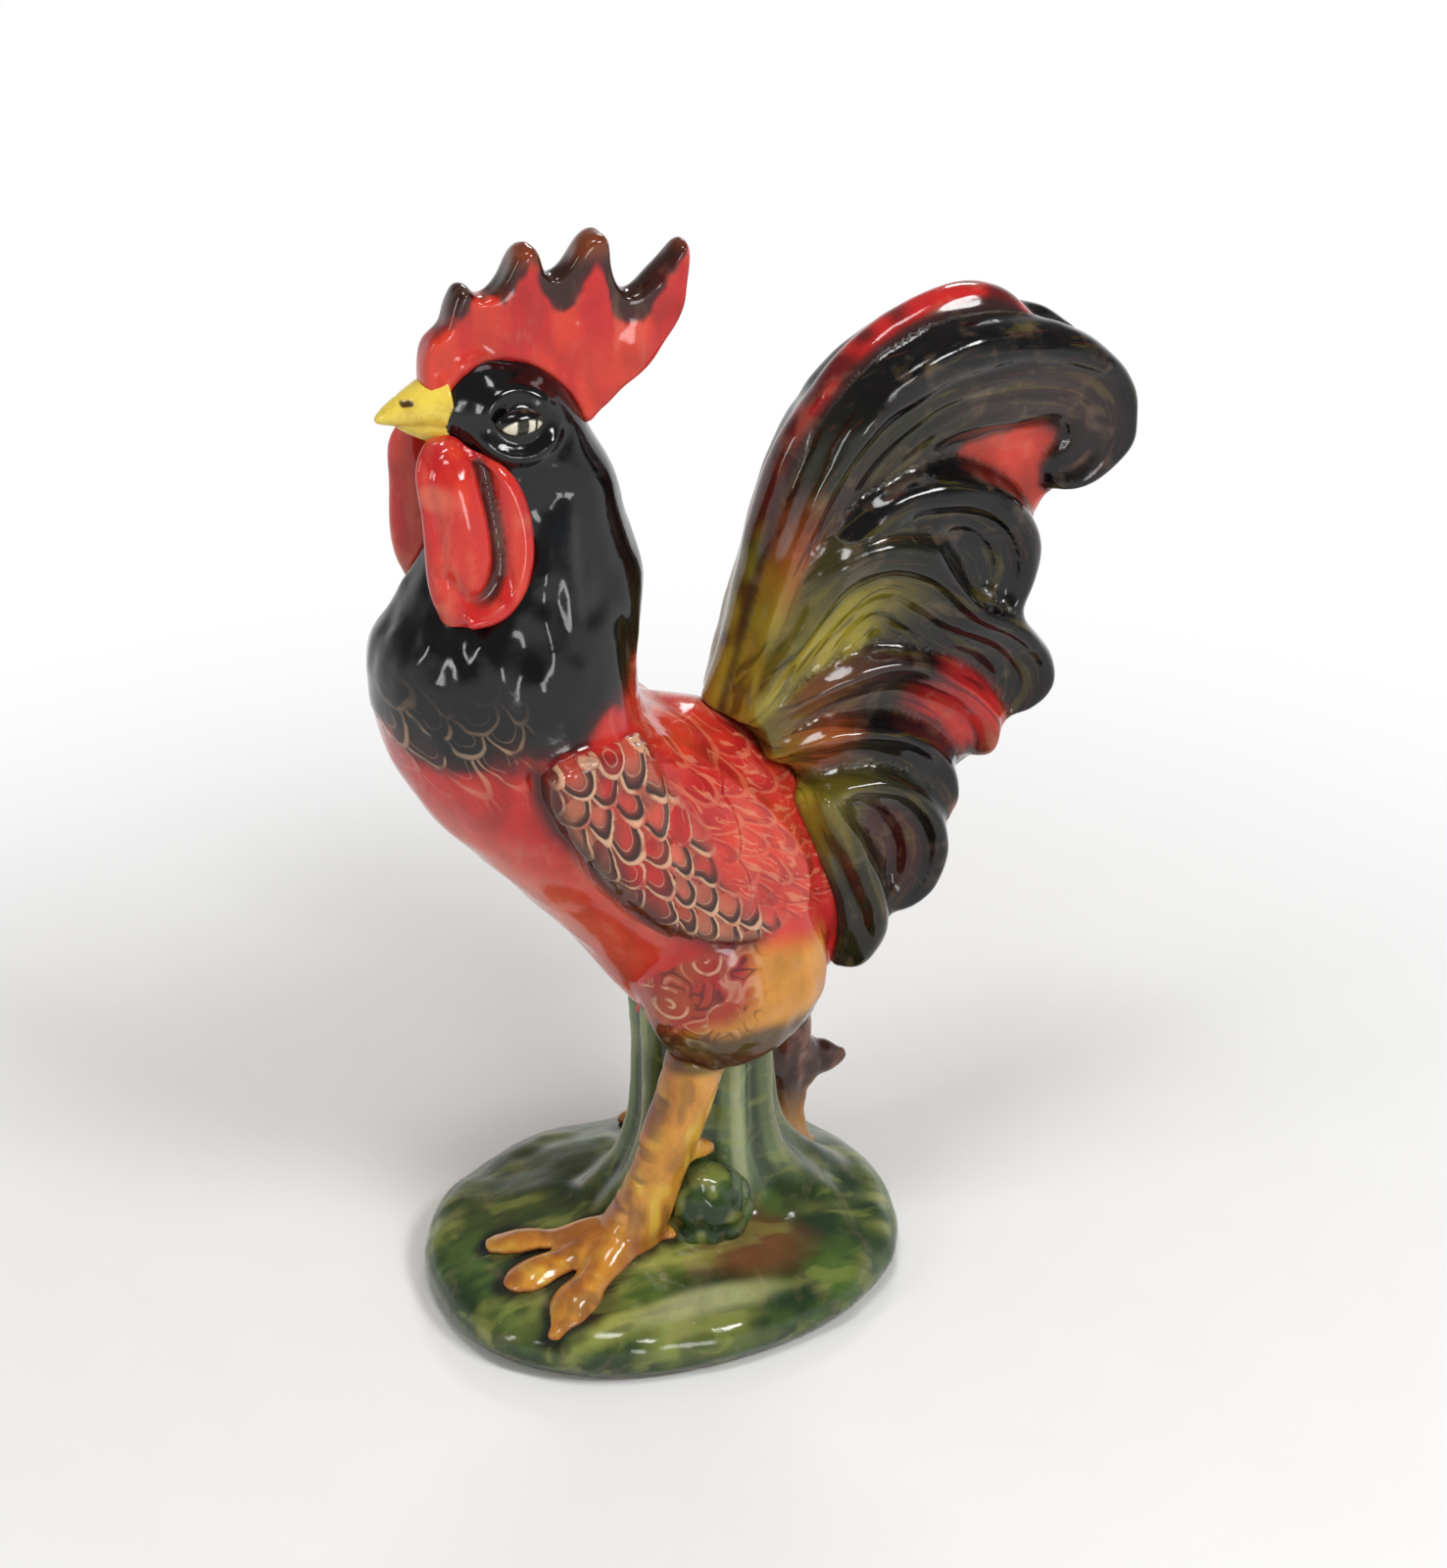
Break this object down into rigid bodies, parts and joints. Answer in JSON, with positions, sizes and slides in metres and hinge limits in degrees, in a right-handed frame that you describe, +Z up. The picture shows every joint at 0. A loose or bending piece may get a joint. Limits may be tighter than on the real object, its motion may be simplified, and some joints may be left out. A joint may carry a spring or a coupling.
{
  "type": "glazed ceramic rooster figurine",
  "caption": "Standing glazed pottery cockerel on a grassy mound, with a pointed comb, hanging wattles and a fan of curled tail feathers.",
  "frame": {"origin": "centre of the flat underside of the base mound", "axes": "+Z up, -X the way the bird faces, -Y the bird's left side"},
  "size_m": [0.2056, 0.1138, 0.3008],
  "materials": {
    "green_glaze": "high gloss glaze",
    "dark_green_glaze": "high gloss glaze",
    "brown_glaze": "high gloss glaze",
    "red_glaze": "high gloss glaze",
    "scallop_glaze": "high gloss glaze",
    "black_glaze": "high gloss glaze",
    "olive_glaze": "high gloss glaze",
    "yellow_glaze": "high gloss glaze",
    "white_glaze": "high gloss glaze",
    "ochre_glaze": "high gloss glaze"
  },
  "bodies": {
    "root": {"base_mound": "green_glaze", "boulder": "dark_green_glaze", "comb": "red_glaze", "curled_feather_left": "olive_glaze", "curled_feather_right": "olive_glaze", "eye_left": "white_glaze", "eye_right": "white_glaze", "foot_left": "ochre_glaze", "foot_right": "ochre_glaze", "grass_column": "green_glaze", "head": "black_glaze", "hook_feather_left": "olive_glaze", "hook_feather_right": "olive_glaze", "leg_left": "ochre_glaze", "leg_right": "ochre_glaze", "lower_beak": "yellow_glaze", "neck": "black_glaze", "ridge_feather_left": "olive_glaze", "ridge_feather_right": "olive_glaze", "rump_feather_left": "black_glaze", "rump_feather_right": "black_glaze", "second_feather_left": "black_glaze", "second_feather_right": "black_glaze", "tail_core": "red_glaze", "tail_covert_left": "olive_glaze", "tail_covert_right": "olive_glaze", "thigh_left": "ochre_glaze", "thigh_right": "ochre_glaze", "torso": "red_glaze", "tree_stump": "brown_glaze", "upper_beak": "yellow_glaze", "upper_sickle_left": "black_glaze", "upper_sickle_right": "black_glaze", "wattle_left": "red_glaze", "wattle_right": "red_glaze", "wing_left": "scallop_glaze", "wing_right": "scallop_glaze"}
  },
  "joints": []
}
